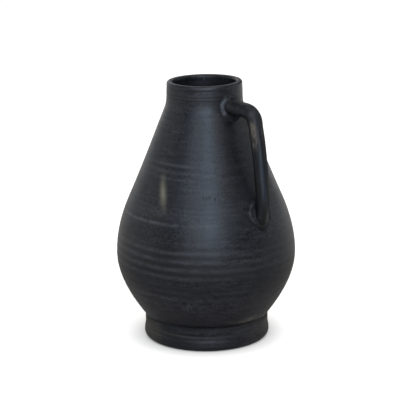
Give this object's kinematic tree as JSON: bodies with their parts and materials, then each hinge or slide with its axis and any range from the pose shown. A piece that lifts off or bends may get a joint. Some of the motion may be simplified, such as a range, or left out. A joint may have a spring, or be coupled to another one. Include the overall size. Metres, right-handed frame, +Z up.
{
  "type": "terracotta vase",
  "caption": "Pear-shaped black terracotta vase with a short collar, an upright foot ring and one rolled handle from neck to shoulder.",
  "frame": {"origin": "centre of the foot ring's resting plane, on the vase's axis", "axes": "+Z up along the vase's axis; +X towards the handle; +Y completes the right-handed frame"},
  "size_m": [0.2484, 0.2484, 0.36],
  "materials": {
    "black_terracotta": "smoke-blackened, satin burnished, unglazed",
    "fired_slip": "matt fired slip"
  },
  "bodies": {
    "root": {"foot_ring": "black_terracotta", "foot_slip": "fired_slip", "lower_body": "black_terracotta", "belly_slip": "fired_slip", "upper_body": "black_terracotta", "neck_slip": "fired_slip", "neck_collar": "black_terracotta", "upper_pad_slip": "fired_slip", "upper_pad": "black_terracotta", "handle_bar": "black_terracotta", "lower_pad": "black_terracotta", "lower_pad_slip": "fired_slip"}
  },
  "joints": []
}
